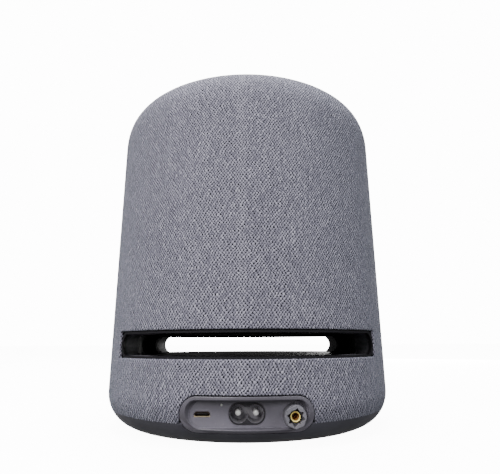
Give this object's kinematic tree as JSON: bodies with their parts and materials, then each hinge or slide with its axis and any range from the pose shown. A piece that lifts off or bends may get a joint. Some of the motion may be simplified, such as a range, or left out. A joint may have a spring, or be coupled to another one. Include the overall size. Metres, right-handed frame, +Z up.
{
  "type": "smart speaker",
  "caption": "Upright cylindrical smart speaker with a fabric sleeve, a bass slot through its lower body, a rear port panel and push buttons on the top.",
  "frame": {"origin": "centre of the foot's underside", "axes": "+Z up along the body's axis, -Y towards the front, +Y towards the ports"},
  "size_m": [0.175, 0.175, 0.206],
  "materials": {
    "grey_fabric": "woven melange, matte",
    "inner_black_plastic": "matte",
    "slot_plastic": "satin",
    "deflector_gloss": "gloss",
    "base_plastic": "fine satin grain",
    "foot_rubber": "matte",
    "screw_steel": "zinc plated",
    "panel_plastic": "satin",
    "inlet_black": "matte",
    "pin_nickel": "bright nickel",
    "usb_metal": "gold plated",
    "collar_plastic": "satin",
    "jack_gold": "gold plated",
    "light_pipe": "diffuse clear",
    "circuit_board": "solder mask",
    "transformer_tape": "polyester tape",
    "capacitor_sleeve": "shrink sleeve",
    "sink_aluminium": "anodised",
    "light_diffuser": "frosted",
    "trim_plastic": "satin",
    "top_plastic": "fine grain",
    "button_plastic": "fine grain",
    "basket_steel": "black paint",
    "motor_steel": "zinc plated steel",
    "ferrite": "sintered",
    "surround_rubber": "matte",
    "spider_cloth": "treated cloth",
    "cone_pulp": "coated pulp",
    "coil_copper": "enamelled copper",
    "dome_cloth": "treated cloth"
  },
  "bodies": {
    "housing": {"fabric_sleeve": "grey_fabric", "grille_shell": "inner_black_plastic", "aperture_frame": "inner_black_plastic", "slot_liner_rear": "slot_plastic", "slot_liner_front": "slot_plastic", "deflector_plate": "deflector_gloss", "base_housing": "inner_black_plastic", "base_cover": "base_plastic", "foot_ring": "foot_rubber", "base_screws": "screw_steel", "port_panel": "panel_plastic", "ac_inlet_body": "inlet_black", "ac_inlet_pins": "pin_nickel", "usb_shell": "usb_metal", "usb_tongue": "inlet_black", "jack_collar": "collar_plastic", "jack_barrel": "jack_gold", "status_light_pipe": "light_pipe", "port_board": "circuit_board", "power_board": "circuit_board", "power_transformer": "transformer_tape", "power_capacitors": "capacitor_sleeve", "speaker_enclosure": "inner_black_plastic", "enclosure_lid": "inner_black_plastic", "main_board": "circuit_board", "heat_sink": "sink_aluminium", "top_chassis": "inner_black_plastic", "mic_board": "circuit_board", "light_ring": "light_diffuser", "top_trim_ring": "trim_plastic", "top_plate": "top_plastic", "driver_screws": "screw_steel", "woofer_basket": "basket_steel", "woofer_front_plate": "motor_steel", "woofer_magnet": "ferrite", "woofer_yoke": "motor_steel", "woofer_surround": "surround_rubber", "woofer_spider": "spider_cloth", "mid_left_basket": "inner_black_plastic", "mid_left_motor": "motor_steel", "mid_left_surround": "surround_rubber", "mid_right_basket": "inner_black_plastic", "mid_right_motor": "motor_steel", "mid_right_surround": "surround_rubber", "mid_top_basket": "inner_black_plastic", "mid_top_motor": "motor_steel", "mid_top_surround": "surround_rubber", "tweeter_faceplate": "inner_black_plastic", "tweeter_motor": "motor_steel"},
    "woofer_moving": {"woofer_cone": "cone_pulp", "woofer_voice_coil": "coil_copper", "woofer_dust_cap": "cone_pulp"},
    "mid_left_moving": {"mid_left_cone": "cone_pulp"},
    "mid_right_moving": {"mid_right_cone": "cone_pulp"},
    "mid_top_moving": {"mid_top_cone": "cone_pulp"},
    "tweeter_moving": {"tweeter_dome": "dome_cloth"},
    "volume_up": {"button_volume_up": "button_plastic"},
    "volume_down": {"button_volume_down": "button_plastic"},
    "action": {"button_action": "button_plastic"},
    "mute": {"button_mute": "button_plastic"}
  },
  "joints": [
    {"name": "volume_up_press", "type": "slide", "parent": "housing", "child": "volume_up", "axis": [0, 0, -1], "range_m": [0, 0.0005], "stiffness_N_per_m": 500},
    {"name": "volume_down_press", "type": "slide", "parent": "housing", "child": "volume_down", "axis": [0, 0, -1], "range_m": [0, 0.0005], "stiffness_N_per_m": 500},
    {"name": "action_press", "type": "slide", "parent": "housing", "child": "action", "axis": [0, 0, -1], "range_m": [0, 0.0005], "stiffness_N_per_m": 500},
    {"name": "mute_press", "type": "slide", "parent": "housing", "child": "mute", "axis": [0, 0, -1], "range_m": [0, 0.0005], "stiffness_N_per_m": 500},
    {"name": "woofer_travel", "type": "slide", "parent": "housing", "child": "woofer_moving", "axis": [0, 0, -1], "range_m": [-0.005, 0.005], "stiffness_N_per_m": 1500, "deforming": ["woofer_surround", "woofer_spider"]},
    {"name": "mid_left_travel", "type": "slide", "parent": "housing", "child": "mid_left_moving", "axis": [1, 0, 0], "range_m": [-0.0015, 0.0015], "stiffness_N_per_m": 1200, "deforming": ["mid_left_surround"]},
    {"name": "mid_right_travel", "type": "slide", "parent": "housing", "child": "mid_right_moving", "axis": [-1, 0, 0], "range_m": [-0.0015, 0.0015], "stiffness_N_per_m": 1200, "deforming": ["mid_right_surround"]},
    {"name": "mid_top_travel", "type": "slide", "parent": "housing", "child": "mid_top_moving", "axis": [0, 0, 1], "range_m": [-0.0015, 0.0015], "stiffness_N_per_m": 1200, "deforming": ["mid_top_surround"]},
    {"name": "tweeter_travel", "type": "slide", "parent": "housing", "child": "tweeter_moving", "axis": [0, -1, 0], "range_m": [-0.0003, 0.0003], "stiffness_N_per_m": 1500}
  ]
}
